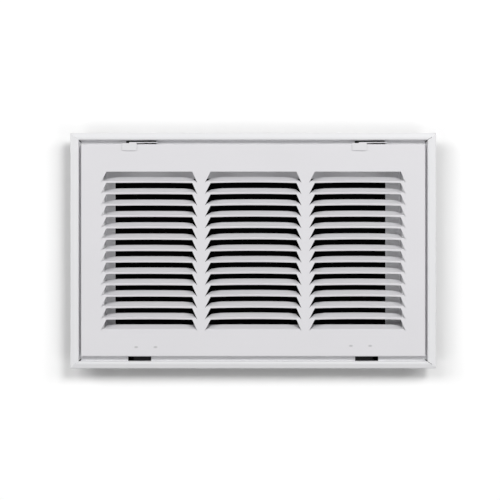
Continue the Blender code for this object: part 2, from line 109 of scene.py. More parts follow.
def folded_line(corners, radius, steps):
    """Points on a bent line and the normals there.

    Each corner becomes an arc of the given radius, which touches both of its legs; a corner
    without a turn stays one point. The normal is the heading turned a quarter to the left.
    """
    corners = np.asarray(corners, float)
    headings = np.diff(corners, axis=0)
    headings /= np.linalg.norm(headings, axis=1)[:, None]
    normals = np.stack([-headings[:, 1], headings[:, 0]], axis=1)
    points = [corners[:1]]
    sides = [normals[:1]]
    for corner, heading, normal, after in zip(corners[1:], headings, normals, headings[1:]):
        turn = math.atan2(heading[0] * after[1] - heading[1] * after[0], heading @ after)
        if abs(turn) < TOLERANCE:
            points.append(corner[None])
            sides.append(normal[None])
            continue
        reach = math.copysign(radius, turn)
        centre = corner - heading * radius * math.tan(abs(turn) / 2) + normal * reach
        angles = np.linspace(0, turn, steps + 1)[:, None]
        turned = normal * np.cos(angles) + heading * -np.sin(angles)
        points.append(centre - turned * reach)
        sides.append(turned)
    return np.concatenate([*points, corners[-1:]]), np.concatenate([*sides, normals[-1:]])


def sheet_metal(name, patches):
    """A closed sheet from patches, each a grid of front points, one of back points and a mask.

    The patches are joined where their front points meet. The back is the front's faces turned
    round on the back points, and a wall joins the two along every edge that has one face.
    """
    fronts = []
    backs = []
    quads = []
    start = 0
    for front, back, mask in patches:
        rows, columns = front.shape[:2]
        index = start + np.arange(rows * columns).reshape(rows, columns)
        cells = [index[:-1, :-1], index[1:, :-1], index[1:, 1:], index[:-1, 1:]]
        faces = np.stack(cells, axis=-1)[mask]
        flat_front = front.reshape(-1, 3)
        flat_back = back.reshape(-1, 3)
        corner = flat_front[faces - start]
        facing = np.cross(corner[:, 2] - corner[:, 0], corner[:, 3] - corner[:, 1])
        outwards = (flat_front - flat_back)[faces[:, 0] - start]
        quads.append(faces if (facing * outwards).sum() > 0 else faces[:, ::-1])
        fronts.append(flat_front)
        backs.append(flat_back)
        start += rows * columns
    fronts = np.concatenate(fronts)
    backs = np.concatenate(backs)
    quads = np.concatenate(quads)
    places = np.round(fronts / JOIN_STEP).astype(np.int64)
    _, first, joined = np.unique(places, axis=0, return_index=True, return_inverse=True)
    quads = joined.reshape(-1)[quads]
    used, quads = np.unique(quads, return_inverse=True)
    quads = quads.reshape(-1, 4)
    fronts = fronts[first][used]
    backs = backs[first][used]
    edges = np.concatenate([quads[:, [a, (a + 1) % 4]] for a in range(4)])
    ends = np.sort(edges, axis=1)
    _, place, uses = np.unique(ends, axis=0, return_index=True, return_counts=True)
    rim = edges[place[uses == 1]]
    count = len(fronts)
    walls = np.stack([rim[:, 1], rim[:, 0], rim[:, 0] + count, rim[:, 1] + count], axis=1)
    mesh = bpy.data.meshes.new(name)
    faces = np.concatenate([quads, quads[:, ::-1] + count, walls])
    mesh.from_pydata(np.concatenate([fronts, backs]).tolist(), [], faces.tolist())
    mesh.shade_smooth()
    mesh.set_sharp_from_angle(angle=SHARP_FOLD)
    piece = bpy.data.objects.new(name, mesh)
    bpy.context.scene.collection.objects.link(piece)
    flats_first = piece.modifiers.new("flats_first", "WEIGHTED_NORMAL")
    flats_first.weight = 100
    flats_first.keep_sharp = True
    return piece


def hole_lines(middle, radius):
    """Grid lines for a hole: a square of cells about its middle, one cell wider than the hole."""
    return middle + radius * np.arange(-HOLE_CELLS - 1, HOLE_CELLS + 2) / HOLE_CELLS


def punch(faces, mask, across, up, across_way, up_way, radius):
    """Cuts a round hole in a patch. across and up are each point's distances from its middle.

    The square ring of points at the hole's edge turns into a circle, the ring outside it stays
    square, and the cells inside go.
    """
    ring = np.maximum(abs(across), abs(up)) / radius
    length = np.maximum(np.hypot(across, up), TOLERANCE) / radius
    square = np.clip((ring - 1) * HOLE_CELLS, 0, 1)
    pull = (1 - square) * (ring / length - 1)
    for face in faces:
        face += (across * pull)[..., None] * across_way + (up * pull)[..., None] * up_way
    cell_across = (across[:-1, :-1] + across[1:, 1:]) / 2
    cell_up = (up[:-1, :-1] + up[1:, 1:]) / 2
    mask &= np.maximum(abs(cell_across), abs(cell_up)) > radius


def dress(piece, body, slot, material, *nodes):
    """Gives a finished piece its material and its body, and hides the CAD nodes that it stands
    for.
    """
    piece.data.materials.append(material)
    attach(piece, body)
    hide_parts(*nodes)


class Value:
    """A node's output in a material or world. Operators add Math nodes, and node adds any other.

    One without a socket is the place where a tree's first nodes are added. Between values of
    0 and 1, a | b is 1 where either is.
    """

    def __init__(self, tree, socket=None):
        self.tree = tree
        self.socket = socket

    def node(self, kind, settings, inputs, output=0):
        """Adds a node, sets its settings, then its inputs by number or name; gives an output."""
        made = self.tree.nodes.new(kind)
        for name, value in settings.items():
            setattr(made, name, value)
        pairs = inputs.items() if isinstance(inputs, dict) else enumerate(inputs)
        for key, value in pairs:
            if isinstance(value, Value):
                value.feed(made.inputs[key])
            else:
                made.inputs[key].default_value = value
        return Value(self.tree, made.outputs[output])

    def feed(self, target):
        """Links this value to a node's input socket."""
        self.tree.links.new(self.socket, target)

    def maths(self, operation, first, second):
        """A Math node's operation on two values or numbers."""
        return self.node("ShaderNodeMath", {"operation": operation}, [first, second])

    def __add__(self, other):
        return self.maths("ADD", self, other)

    def __sub__(self, other):
        return self.maths("SUBTRACT", self, other)

    def __rsub__(self, other):
        return self.maths("SUBTRACT", other, self)

    def __mul__(self, other):
        return self.maths("MULTIPLY", self, other)

    def __pow__(self, other):
        return self.maths("POWER", self, other)

    def __gt__(self, other):
        return self.maths("GREATER_THAN", self, other)

    def __or__(self, other):
        return self.maths("MAXIMUM", self, other)

    def __abs__(self):
        return self.maths("ABSOLUTE", self, 0)

    __radd__ = __add__
    __rmul__ = __mul__


def between(factor, low, high):
    """A colour between two, through a Mix node, whose colour sockets go by their numbers."""
    inputs = {0: factor, 6: low if isinstance(low, Value) else (*low, 1), 7: (*high, 1)}
    return factor.node("ShaderNodeMix", {"data_type": "RGBA"}, inputs, 2)


def new_material(name):
    """A material with no node but its output, as (material, place for nodes, surface socket)."""
    material = bpy.data.materials.new(name)
    material.use_nodes = True
    tree = material.node_tree
    tree.nodes.remove(tree.nodes["Principled BSDF"])
    return material, Value(tree), tree.nodes["Material Output"].inputs["Surface"]


COAT_ROUGHNESS = 0.37
CLOUD_ROUGHNESS = 0.06
GRAIN_ROUGHNESS = 0.05
COAT_DRIFT = 0.965
POWDER_CLOUD = 60 * MM
POWDER_SPECK = 1.6 * MM
POWDER_GRAIN = POWDER_SPECK / 6
PEEL_SHARE = 0.7
PEEL_STRENGTH = 0.16
PEEL_HEIGHT = 0.05 * MM
DENT_DEPTH = 2.5
DENT_SHADE = 0.68


def powder_coat(name, colour, seed=0.0, dents=None):
    """White powder coat on steel.

    Colour drifts by a few parts in a hundred over clouds of 60 mm. The surface has the orange
    peel of melted powder, bumps 1 to 2 mm across, over a much finer grain. dents makes a value
    from the nodes and the place, 1 in the middle of a dent and 0 away from it. A dent is sunk
    into the bump and its colour darkened, which is painted shade.
    """
    material, nodes, surface = new_material(name)
    on_piece = nodes.node("ShaderNodeTexCoord", {}, {}, "Object")
    place = nodes.node("ShaderNodeVectorMath", {"operation": "ADD"}, [on_piece, (seed, seed, 0)])

    def noise(size, detail):
        """Noise from 0 to 1 whose patches are about the given size."""
        inputs = {"Vector": place, "Scale": 1 / size, "Detail": detail}
        return nodes.node("ShaderNodeTexNoise", {}, inputs, "Fac")

    cloud = noise(POWDER_CLOUD, 3)
    peel = noise(POWDER_SPECK, 1)
    grain = noise(POWDER_GRAIN, 2)
    darker = tuple(COAT_DRIFT * part for part in colour)
    tint = between(cloud, darker, colour)
    height = peel * PEEL_SHARE + grain * (1 - PEEL_SHARE)
    if dents:
        dent = dents(nodes, on_piece)
        height = height - dent * DENT_DEPTH
        # Painted shade: the middle of each dent is darkened for the shade a dent would hold.
        tint = between(dent, tint, tuple(DENT_SHADE * part for part in colour))
    inputs = {"Strength": PEEL_STRENGTH, "Distance": PEEL_HEIGHT, "Height": height}
    bump = nodes.node("ShaderNodeBump", {}, inputs, "Normal")
    rough = COAT_ROUGHNESS + cloud * CLOUD_ROUGHNESS + grain * GRAIN_ROUGHNESS
    inputs = {"Base Color": tint, "Roughness": rough, "Normal": bump}
    nodes.node("ShaderNodeBsdfPrincipled", {}, inputs).feed(surface)
    return material


FRAME_WHITE = (0.785, 0.785, 0.80)
frame_coat = powder_coat("frame_powder_coat", FRAME_WHITE)


def rail_sheet(lip, rear_lip, flange_lines):
    """Front and back of a rail's section, as (inset, y) points, with lines across the flange.

    The middle of the sheet is a bent line, and each face lies half the sheet's thickness from
    it along its normals.
    """
    half = FRAME_SHEET / 2
    corners = [
        (half, 0),
        (half, -RIM_DEPTH),
        (SLOPE_WIDTH, -LIP_DEPTH + half),
        (lip - half, -LIP_DEPTH + half),
        (lip - half, -half),
        *((inset, -half) for inset in flange_lines),
        (NECK_INSET + half, -half),
        (NECK_INSET + half, NECK_DEPTH - half),
        (NECK_INSET + FRAME_SHEET + rear_lip, NECK_DEPTH - half),
    ]
    points, normals = folded_line(corners, FOLD_RADIUS, FOLD_STEPS)
    return points - normals * half, points + normals * half


def mitre_knots(lip, rear_lip):
    """Insets at which a rail's bands begin and end. They pair off with its neighbour's."""
    return [
        0,
        SLOPE_WIDTH + FOLD_RADIUS,
        lip - MITRE_FOLD,
        lip + MITRE_FOLD,
        NECK_INSET - MITRE_FOLD,
        NECK_INSET + MITRE_FOLD,
        NECK_INSET + FRAME_SHEET + rear_lip,
    ]


def mitred_rail(outwards, along, own, ends, seams, flange_lines, stations):
    """One rail, as a patch: its section by stations along it.

    The first and last stations lie on the mitre lines, where the inset equals the neighbour's
    inset at the same point of the fold, and every other station is straight across. A mitre is
    open at the lip by its seam and nearly closed behind it, but for a notch where the recess
    wall meets the flange, which lets the blank be folded.
    """
    outwards = np.array(outwards, float)
    along = np.array(along, float)
    half_across = abs(outwards) @ (HALF_WIDTH, 0, HALF_HEIGHT)
    half_along = abs(along) @ (HALF_WIDTH, 0, HALF_HEIGHT)
    faces = []
    notch_end = own[0] + CORNER_NOTCH_REACH[1]
    for section in rail_sheet(*own, sorted([notch_end, *flange_lines])):
        inset, depth = section.T
        opened = np.interp(depth, (-LIP_DEPTH, 0), (1, CLOSED_SHARE))
        from_corner = abs(inset - own[0]) + abs(depth + FRAME_SHEET)
        notch = np.interp(from_corner, CORNER_NOTCH_REACH, (CORNER_NOTCH, 0))
        reaches = []
        for end, seam in zip(ends, seams):
            mitre = np.interp(inset, mitre_knots(*own), mitre_knots(*end))
            reaches.append(half_along - mitre - seam * opened - notch)
        middle = np.broadcast_to(stations, (len(inset), len(stations)))
        run = np.concatenate([-reaches[0][:, None], middle, reaches[1][:, None]], axis=1)
        across = outwards * (half_across - inset)[:, None] + np.outer(depth, (0, 1, 0))
        faces.append(across[:, None] + run[..., None] * along)
    return faces


def without_slots(front, inset_axis, half_across, slots, insets, run_axis):
    """The mask of a rail's patch, leaving out the cells whose middle lies in a flange slot."""
    middle = (front[:-1, :-1] + front[1:, 1:]) / 2
    inset = half_across - abs(middle[..., inset_axis])
    in_flange = abs(middle[..., 1] + FRAME_SHEET) < FRAME_SHEET / 4
    in_flange &= (inset > insets[0]) & (inset < insets[1])
    mask = np.ones(middle.shape[:2], bool)
    for centre, width in slots:
        mask &= ~(in_flange & (abs(middle[..., run_axis] - centre) < width / 2))
    return mask


# Each rail's width over its lip and its rear lip
LEFT = (SIDE_LIP, LEFT_REAR_LIP)
RIGHT = (SIDE_LIP, RIGHT_REAR_LIP)
TOP = (END_LIP, TOP_REAR_LIP)
BOTTOM = (END_LIP, BOTTOM_REAR_LIP)

# Top and bottom rails have stations at the ends of their slots.
for name, outwards, own, insets, slots in (
    (
        "top_rail",
        (0, 0, 1),
        TOP,
        LATCH_SLOT_INSETS,
        [(middle, LATCH_SLOT_WIDTH) for middle in LATCH_SLOTS.values()],
    ),
    (
        "bottom_rail",
        (0, 0, -1),
        BOTTOM,
        HINGE_SLOT_INSETS,
        [(side * HINGE_SLOT_MIDDLE, HINGE_SLOT_WIDTH) for side in (-1, 1)],
    ),
):
    flange_lines = [inset for inset in insets if inset > END_LIP + FOLD_RADIUS]
    stations = sorted(middle + side * width / 2 for middle, width in slots for side in (-1, 1))
    front, back = mitred_rail(
        outwards,
        (1, 0, 0),
        own,
        (LEFT, RIGHT),
        (FILLED_SEAM, OPEN_SEAM),
        flange_lines,
        stations,
    )
    mask = without_slots(front, 2, HALF_HEIGHT, slots, insets, 0)
    rail = sheet_metal(name + "_sheet", [(front, back, mask)])
    dress(rail, "frame", "frame_coat", frame_coat, name)

# Side rails have stations at their screw holes.
hole_inset = (SIDE_LIP + NECK_INSET) / 2
hole_heights = (-SCREW_HOLE_HEIGHT, SCREW_HOLE_HEIGHT)
hole_stations = np.concatenate([hole_lines(height, SCREW_HOLE / 2) for height in hole_heights])
far = HALF_WIDTH
for name, side, own, seam in (
    ("left_rail", -1, LEFT, FILLED_SEAM),
    ("right_rail", 1, RIGHT, OPEN_SEAM),
):
    faces = mitred_rail(
        (side, 0, 0),
        (0, 0, 1),
        own,
        (BOTTOM, TOP),
        (seam, seam),
        hole_lines(hole_inset, SCREW_HOLE / 2),
        hole_stations,
    )
    x, y, z = np.moveaxis(faces[0], -1, 0)
    mask = np.ones((len(x) - 1, x.shape[1] - 1), bool)
    in_flange = abs(y + FRAME_SHEET) < FRAME_SHEET / 4
    across = np.where(in_flange, x - side * (HALF_WIDTH - hole_inset), far)
    ways = np.array((1, 0, 0)), np.array((0, 0, 1))
    for height in hole_heights:
        punch(faces, mask, across, z - height, *ways, SCREW_HOLE / 2)
    rail = sheet_metal(name + "_sheet", [(*faces, mask)])
    dress(rail, "frame", "frame_coat", frame_coat, name)

# Door: one stamped pan of thinner sheet, powder coated. Three columns of blades are cut on three
# sides, bent back about their lower edge and curled further back at their ends. The pan's four
# edges are folded back, with an open slit at each corner.
door_low, door_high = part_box("louvred_door")
DOOR_HALF_WIDTH = door_high[0]
DOOR_TOP = door_high[2]
DOOR_BOTTOM = door_low[2]
DOOR_MIDDLE = (DOOR_TOP + DOOR_BOTTOM) / 2
DOOR_FRONT = door_low[1]
RUNNING_GAP = 0.5 * MM
DOOR_BACK = -FRAME_SHEET - RUNNING_GAP
DOOR_SHEET = 0.7 * MM
DOOR_EDGE_RADIUS = 1.2 * MM
CORNER_SLIT = 0.12 * MM

ROWS = 14
COLUMN_PITCH = 120.2 * MM
FIELD_DROP = 0.2 * MM
ROOT_WIDTH = 109.5 * MM
ROOT_NOTCH = (0.9 * MM, 1.2 * MM)
SLIT_WIDTH = 99.1 * MM
SLIT_SHIFT = 0.45 * MM
STRIP_WIDTH = 1.95 * MM
STRIP_ROLL = 0.4 * MM
ROLL_POWER = 0.25
CUT_LENGTH = 11.18 * MM
CUT_WIDTH = 0.4 * MM
BEND_RADIUS = 0.8 * MM
BEND_STEPS = 5
BLADE_STEPS = 4
BLADE_ANGLE = math.radians(61.5)
END_CURLS = ((14 * MM, math.radians(7.3)), (11.5 * MM, math.radians(5.8)))
CURL_POWER = 1.4
BLADE_CORNER = 0.5 * MM
ARCHES = (0.42 * MM, 0.76 * MM, 0.72 * MM)
END_LINES = np.array([0, 0.08, 0.25, 0.5, 0.9, 1.6, 3, 5, 7, 9, 11.5, 14]) * MM
MIDDLE_LINES = 8

root_half = ROOT_WIDTH / 2 - CUT_WIDTH
slit_half = SLIT_WIDTH / 2 - CUT_WIDTH
end_lines = root_half - END_LINES
middle_lines = np.linspace(-end_lines[-1], end_lines[-1], MIDDLE_LINES + 2)[1:-1]
blade_lines = np.concatenate([-end_lines, middle_lines, end_lines[::-1]]) / root_half
columns = np.array([-1, 0, 1]) * COLUMN_PITCH


def lines_across(width, shift=0.0, notch=0.0):
    """The door's grid lines in x where every blade's cut has the given width."""
    inner = blade_lines * (width / 2 - CUT_WIDTH)
    louvre = np.concatenate([[-width / 2 - notch], inner, [width / 2 + notch]]) + shift
    edge = DOOR_HALF_WIDTH - DOOR_EDGE_RADIUS
    return np.concatenate([[-edge], (columns[:, None] + louvre).ravel(), [edge]])


louvre_cells = len(blade_lines) + 1
bow = 1 - np.concatenate([[1], blade_lines**2, [1]])
arch_lines = np.outer(ARCHES, bow)
arch = np.concatenate([[0], arch_lines.ravel(), [0]])
roll = np.concatenate([[0], np.tile(STRIP_ROLL * bow**ROLL_POWER, len(columns)), [0]])
notch_line = np.zeros_like(arch_lines)
notch_line[:, [0, -1]] = ROOT_NOTCH[1]
notches = np.concatenate([[0], notch_line.ravel(), [0]])
row_pitch = CUT_LENGTH + STRIP_WIDTH
field = (ROWS - 1) * row_pitch + CUT_LENGTH
first_slit = DOOR_MIDDLE - FIELD_DROP + field / 2
slit_heights = first_slit - np.arange(ROWS) * row_pitch
bend_setback = BEND_RADIUS * math.tan(BLADE_ANGLE / 2)
bend_heights = slit_heights - CUT_LENGTH - bend_setback

# The face is one grid. Each blade adds two rows of points, at its slit and on its bend line, and
# the cells between them are left out.
slit_line = lines_across(SLIT_WIDTH, SLIT_SHIFT)
bend_line = lines_across(ROOT_WIDTH, notch=ROOT_NOTCH[0])
plate_x = [slit_line]
plate_y = [np.full(len(arch), DOOR_FRONT)]
plate_z = [np.full(len(arch), DOOR_TOP - DOOR_EDGE_RADIUS)]
for row, (slit_height, bend_height) in enumerate(zip(slit_heights, bend_heights)):
    plate_x += [slit_line, bend_line]
    plate_y += [DOOR_FRONT + roll * (row > 0), plate_y[0]]
    plate_z += [slit_height + arch * (row > 0), bend_height + arch * (row < ROWS - 1) - notches]
plate_x.append(lines_across(ROOT_WIDTH))
plate_y.append(plate_y[0])
plate_z.append(np.full(len(arch), DOOR_BOTTOM + DOOR_EDGE_RADIUS))
plate_x = np.array(plate_x)
plate_z = np.array(plate_z)
plate = np.stack([plate_x, np.array(plate_y), plate_z], axis=-1)
solid = np.ones((plate.shape[0] - 1, plate.shape[1] - 1), bool)
for column in range(len(columns)):
    first_cell = 1 + column * (louvre_cells + 1)
    solid[1 : 2 * ROWS : 2, first_cell : first_cell + louvre_cells] = False
patches = [(plate, plate + (0, DOOR_SHEET, 0), solid)]

# A blade leaves the face on its bend line, leans back on an arc and runs straight to its tip.
from_end = root_half * (1 - abs(blade_lines))
angle = np.full_like(blade_lines, BLADE_ANGLE)
for side, (reach, turn) in zip((-1, 1), END_CURLS):
    angle += turn * np.clip(1 - from_end / reach, 0, 1) ** CURL_POWER * (side * blade_lines > 0)
corner = np.clip(BLADE_CORNER - from_end, 0, BLADE_CORNER)
length = CUT_LENGTH - CUT_WIDTH - bend_setback
length = length - BLADE_CORNER + np.sqrt(BLADE_CORNER**2 - corner**2)
bend = np.linspace(0, 1, BEND_STEPS + 1)[:, None] * angle
straight = np.linspace(0, 1, BLADE_STEPS + 1)[1:, None] * length
lean = np.concatenate([bend, np.broadcast_to(angle, straight.shape)])
run = np.concatenate([np.zeros_like(bend), straight])
share = BEND_RADIUS * lean + run
share /= share[-1].max()
blade_x = blade_lines * (root_half + (slit_half - root_half) * share) + SLIT_SHIFT * share
blade_y = DOOR_FRONT + BEND_RADIUS * (1 - np.cos(lean)) + run * np.sin(lean)
blade_z = BEND_RADIUS * np.sin(lean) + run * np.cos(lean)
blade = np.stack([blade_x, blade_y, blade_z], axis=-1)
behind = np.stack([np.zeros_like(lean), np.cos(lean), -np.sin(lean)], axis=-1)
whole = np.ones((blade.shape[0] - 1, blade.shape[1] - 1), bool)
for row, bend_height in enumerate(bend_heights):
    for centre, arch_line in zip(columns, arch_lines):
        front = blade + (centre, 0, bend_height)
        front[..., 2] += arch_line[1:-1] * (row < ROWS - 1)
        patches.append((front, front + behind * DOOR_SHEET, whole))

# The four edges are folded back from the face, each short of the next one by an open slit.
edge_corners = [(2 * DOOR_EDGE_RADIUS, DOOR_FRONT), (0, DOOR_FRONT), (0, DOOR_BACK)]
edge_line, edge_normals = folded_line(edge_corners, DOOR_EDGE_RADIUS, FOLD_STEPS)
edge_line = edge_line[1:]
edge_normals = edge_normals[1:]
slit = CORNER_SLIT * (np.arange(len(edge_line)) > 0)
door_half_height = (DOOR_TOP - DOOR_BOTTOM) / 2
for outwards, along, stations, across, reach in (
    ((0, 0, 1), (1, 0, 0), plate_x[0], door_half_height, DOOR_HALF_WIDTH),
    ((0, 0, -1), (1, 0, 0), plate_x[-1], door_half_height, DOOR_HALF_WIDTH),
    ((1, 0, 0), (0, 0, 1), plate_z[:, -1] - DOOR_MIDDLE, DOOR_HALF_WIDTH, door_half_height),
    ((-1, 0, 0), (0, 0, 1), plate_z[:, 0] - DOOR_MIDDLE, DOOR_HALF_WIDTH, door_half_height),
):
    outwards = np.array(outwards, float)
    along = np.array(along, float)
    faces = []
    for inset, depth in (edge_line.T, (edge_line - edge_normals * DOOR_SHEET).T):
        run = np.tile(stations, (len(inset), 1))
        run[:, [0, -1]] = (reach - inset - slit)[:, None] * np.sign(stations[[0, -1]])
        face = outwards * (across - inset)[:, None] + np.outer(depth, (0, 1, 0))
        faces.append(face[:, None] + run[..., None] * along + (0, 0, DOOR_MIDDLE))
    patches.append((*faces, np.ones((len(edge_line) - 1, len(stations) - 1), bool)))

WELD_MIDDLE = 123.8 * MM
WELD_OFFSET = 11.1 * MM
WELD_HEIGHT = -110.45 * MM
WELD_STEP = 0.75 * MM
WELD_SIZE = (3.2 * MM, 1.7 * MM)
WELD_FLAT = 0.3


def spot_welds(nodes, place):
    """Four shallow ovals low on the door, where the hinge leaves are welded on behind.

    The distance from the nearest one is measured in half its width and height. The right pair
    lies twice the weld step higher than the left one.
    """
    x = nodes.node("ShaderNodeSeparateXYZ", {}, [place], "X")
    z = nodes.node("ShaderNodeSeparateXYZ", {}, [place], "Z")
    side = nodes.node("ShaderNodeMath", {"operation": "SIGN"}, [x])
    across = abs(abs(abs(x) - WELD_MIDDLE) - WELD_OFFSET) * (1 / WELD_SIZE[0])
    up = (z - WELD_HEIGHT - side * WELD_STEP) * (1 / WELD_SIZE[1])
    distance = (across * across + up * up) ** 0.5
    smooth = {"interpolation_type": "SMOOTHSTEP"}
    return nodes.node("ShaderNodeMapRange", smooth, [distance, WELD_FLAT, 1.0, 1.0, 0.0])


DOOR_WHITE = (0.74, 0.732, 0.755)
door_coat = powder_coat("door_powder_coat", DOOR_WHITE, seed=0.3, dents=spot_welds)
door = sheet_metal("louvred_door_sheet", patches)
dress(door, "door", "door_coat", door_coat, "louvred_door")

# Latches: two small slides of folded sheet, coated like the door. A thumb tab hangs over the
# door's face, and a foot on a narrow neck reaches through a slot in the frame's flange. A long
# hole lets each one slide on its two rivets.
SEAT_GAP = 0.3 * MM
LATCH_SHEET = 0.8 * MM
LATCH_FOLD_RADIUS = 1.2 * MM
TAB_WIDTH = 17.0 * MM
TAB_CORNER = 1.6 * MM
TONGUE_NECK = 7.0 * MM
LATCH_FOOT = 23.5 * MM
LATCH_NOTCH = 4.5 * MM
TAB_CURL = 2.6 * MM
TAB_CURL_DROP = 0.45 * MM
LATCH_BACK = -FRAME_SHEET - SEAT_GAP
LATCH_HOLE = 3.6 * MM
CORNER_LINES = np.array([0, 0.1, 0.4, 0.9, 1.6, 2.6]) * MM


def rivet_places(side):
    """The middle lines of a latch's two rivets, the one on the right first."""
    return [
        (low + high) / 2
        for low, high in (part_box(f"{side}_latch_rivet_{number}") for number in (1, 2))
    ]


# Painted shade: the latches' white is a little darker than the door's, to offset the light that
# the tab's top fold catches from the upper lamps.
LATCH_SHADED_WHITE = (0.73, 0.725, 0.745)
latch_coat = powder_coat("latch_powder_coat", LATCH_SHADED_WHITE, seed=0.6)
for side, slot_middle in LATCH_SLOTS.items():
    low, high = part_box(side + "_latch")
    flat_left = slot_middle - LATCH_SLOT_WIDTH / 2 + LATCH_NOTCH
    neck_right = flat_left + TONGUE_NECK
    foot_right = flat_left + LATCH_FOOT
    tab_right = low[0] + TAB_WIDTH
    rivet_x, rivet_y, _ = rivet_places(side)[0]
    hole_left = flat_left + high[0] - rivet_x

    # The slide lies flat over its rivets, on a grid in X and Y.
    plan_x = np.concatenate(
        [
            low[0] + CORNER_LINES,
            [flat_left, neck_right, foot_right, high[0]],
            tab_right - CORNER_LINES,
            hole_lines(hole_left, LATCH_HOLE / 2),
            hole_lines(rivet_x, LATCH_HOLE / 2),
        ]
    )
    plan_x = np.sort(plan_x)
    plan_x = plan_x[np.diff(plan_x, prepend=-1) > JOIN_STEP]
    plan_y = [DOOR_FRONT, *hole_lines(rivet_y, LATCH_HOLE / 2), LATCH_BACK, SEAT_GAP, high[1]]
    grid_x, grid_y = np.meshgrid(plan_x, plan_y)
    plan = np.stack([grid_x, grid_y, np.full_like(grid_x, high[2])], axis=-1)
    middle_x = (plan_x[:-1] + plan_x[1:]) / 2
    plan_mask = np.tile(middle_x > flat_left, (len(plan_y) - 1, 1))
    plan_mask[-2] &= middle_x < neck_right
    plan_mask[-1] &= middle_x < foot_right
    plan_faces = [plan, plan - (0, 0, LATCH_SHEET)]
    across = grid_x - np.clip(grid_x, hole_left, rivet_x)
    ways = np.array((1, 0, 0)), np.array((0, 1, 0))
    punch(plan_faces, plan_mask, across, grid_y - rivet_y, *ways, LATCH_HOLE / 2)

    # The tab is bent down from the slide, with rounded lower corners and its left edge curled in.
    tab_x = plan_x[plan_x < tab_right + JOIN_STEP]
    tab_corners = [(DOOR_FRONT, high[2]), (low[1], high[2]), (low[1], low[2])]
    line, normals = folded_line(tab_corners, LATCH_FOLD_RADIUS, FOLD_STEPS)
    from_side = np.minimum(tab_x - tab_x[0], tab_x[-1] - tab_x)
    corner = np.clip(TAB_CORNER - from_side, 0, TAB_CORNER)
    curl = np.clip(1 - (tab_x - tab_x[0]) / TAB_CURL, 0, 1)
    tab_faces = []
    for points in (line, line + normals * LATCH_SHEET):
        face = np.empty((len(points), len(tab_x), 3))
        face[..., 0] = tab_x
        face[..., 1:] = points[:, None]
        face[-1, :, 2] += TAB_CORNER - np.sqrt(TAB_CORNER**2 - corner**2)
        tab_faces.append(face)
    tab_faces[0][-2:, :, 1] += TAB_CURL_DROP * curl**2
    tab_mask = np.ones((len(line) - 1, len(tab_x) - 1), bool)
    tab_mask[:-1] = middle_x[: len(tab_x) - 1] > flat_left
    patches = [(*plan_faces, plan_mask), (*tab_faces, tab_mask)]
    latch = sheet_metal(side + "_latch_sheet", patches)
    dress(latch, side + "_latch_slide", "latch_coat", latch_coat, side + "_latch")

# Rivets: two to a latch, turned from steel and coloured near black, which is painted shade. The
# slide is held between a shoulder and a domed head, and the tail is closed over inside the
# door's top edge.
RIVET_SEGMENTS = 40
SHANK_RADIUS = 1.5 * MM
SHOULDER_RADIUS = 2.2 * MM
TAIL_RADIUS = 2.0 * MM
TAIL_EDGE = ((0.5, 0), (0.9, 0.1 * MM), (1, 0.35 * MM))
HEAD_RADIUS = 2.5 * MM
HEAD_RIM = 0.25 * MM
HEAD_STEPS = 8
HEAD_FLAT = 0.02 * HEAD_RADIUS
RIVET_SHADE_BLACK = (0.04, 0.04, 0.042)
STREAK_SHADE = 0.8
STREAK_ROUGHNESS = 0.12
STREAK_STRENGTH = 0.15
STREAK_HEIGHT = 0.05 * MM


def steel(name, colour, roughness, grain, stretch):
    """Dark steel with a grain, drawn out along X by the given amount. Its near black is painted
    shade on the rivets, and on the hinge leaves partly blackening and partly painted shade.
    """
    material, nodes, surface = new_material(name)
    place = nodes.node("ShaderNodeTexCoord", {}, {}, "Object")
    multiply = {"operation": "MULTIPLY"}
    drawn = nodes.node("ShaderNodeVectorMath", multiply, [place, (1 / stretch, 1, 1)])
    inputs = {"Vector": drawn, "Scale": 1 / grain, "Detail": 3}
    streak = nodes.node("ShaderNodeTexNoise", {}, inputs, "Fac")
    darker = tuple(STREAK_SHADE * part for part in colour)
    tint = between(streak, darker, colour)
    inputs = {"Strength": STREAK_STRENGTH, "Distance": STREAK_HEIGHT, "Height": streak}
    bump = nodes.node("ShaderNodeBump", {}, inputs, "Normal")
    rough = roughness - STREAK_ROUGHNESS / 2 + streak * STREAK_ROUGHNESS
    inputs = {"Base Color": tint, "Metallic": 1.0, "Roughness": rough, "Normal": bump}
    nodes.node("ShaderNodeBsdfPrincipled", {}, inputs).feed(surface)
    return material


def turned_solid(name, profile, middle):
    """A closed solid of revolution about a vertical line, from (radius, height) points."""
    angles = math.tau * np.arange(RIVET_SEGMENTS) / RIVET_SEGMENTS
    profile = np.array(profile, float)
    ring = np.stack([np.cos(angles), np.sin(angles), np.zeros_like(angles)], axis=-1)
    points = profile[:, None, :1] * ring + profile[:, None, 1:] * (0, 0, 1)
    points = points + (middle[0], middle[1], 0)
    index = np.arange(len(profile) * RIVET_SEGMENTS).reshape(len(profile), -1)
    after = np.roll(index, -1, axis=1)
    quads = np.stack([index[:-1], after[:-1], after[1:], index[1:]], axis=-1).reshape(-1, 4)
    mesh = bpy.data.meshes.new(name)
    faces = [*quads.tolist(), index[0, ::-1].tolist(), index[-1].tolist()]
    mesh.from_pydata(points.reshape(-1, 3).tolist(), [], faces)
    mesh.shade_smooth()
    mesh.set_sharp_from_angle(angle=SHARP_FOLD)
    piece = bpy.data.objects.new(name, mesh)
    bpy.context.scene.collection.objects.link(piece)
    return piece


def dome(bottom, top):
    """Half the outline of a domed head: a short rim, then an arc in to the middle."""
    angles = np.linspace(0, math.pi / 2, HEAD_STEPS + 1)[:-1]
    rise = top - bottom - HEAD_RIM
    arc = [(HEAD_RADIUS * math.cos(a), bottom + HEAD_RIM + rise * math.sin(a)) for a in angles]
    return [(HEAD_RADIUS, bottom), *arc, (HEAD_FLAT, top)]


